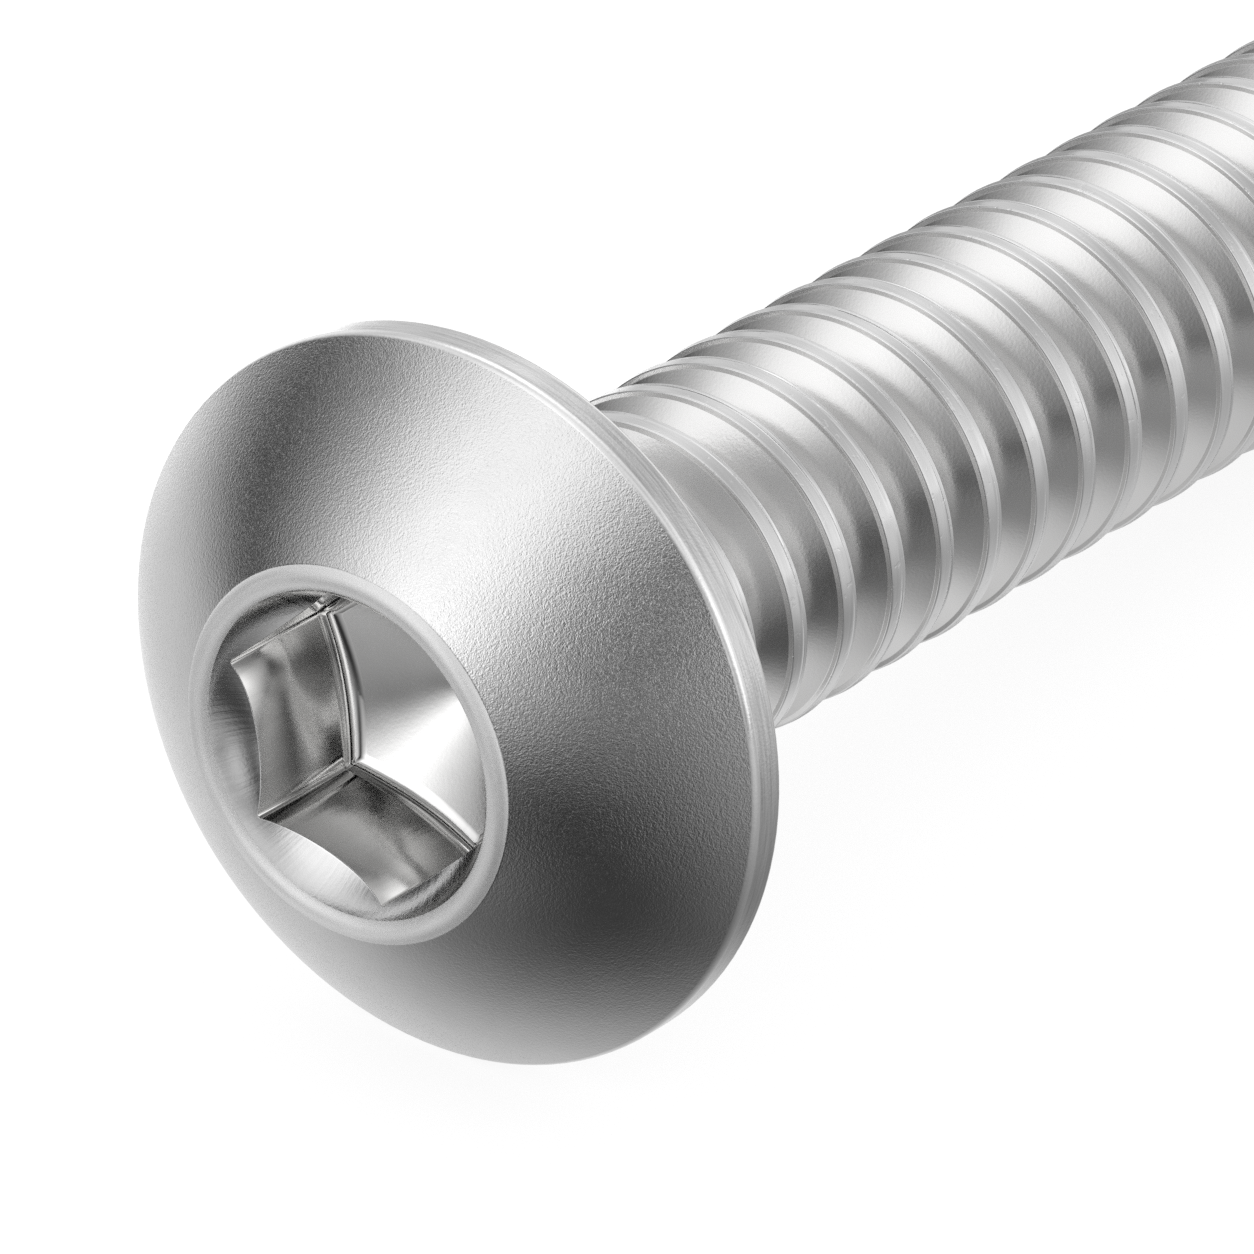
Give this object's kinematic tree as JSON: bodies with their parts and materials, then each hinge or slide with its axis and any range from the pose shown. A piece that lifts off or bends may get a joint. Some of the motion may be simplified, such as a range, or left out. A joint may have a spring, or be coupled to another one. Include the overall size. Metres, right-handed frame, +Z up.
{
  "type": "button head screw",
  "caption": "Button head socket screw: a low domed head with a raised ring round its hex socket, on a fully threaded shank with a chamfered tip.",
  "frame": {"origin": "middle of the bounding box's foot, on the surface that the screw lies on", "axes": "+Z up; the screw lies on its side with its axis in the XZ plane, head towards -X and tip towards +X, dipping 5.67 degrees towards the tip; the row frame's X is its longest extent"},
  "size_m": [0.0282, 0.0096, 0.0097],
  "materials": {
    "stainless": "satin, blasted head, rolled thread"
  },
  "bodies": {
    "root": {"screw": "stainless"}
  },
  "joints": []
}
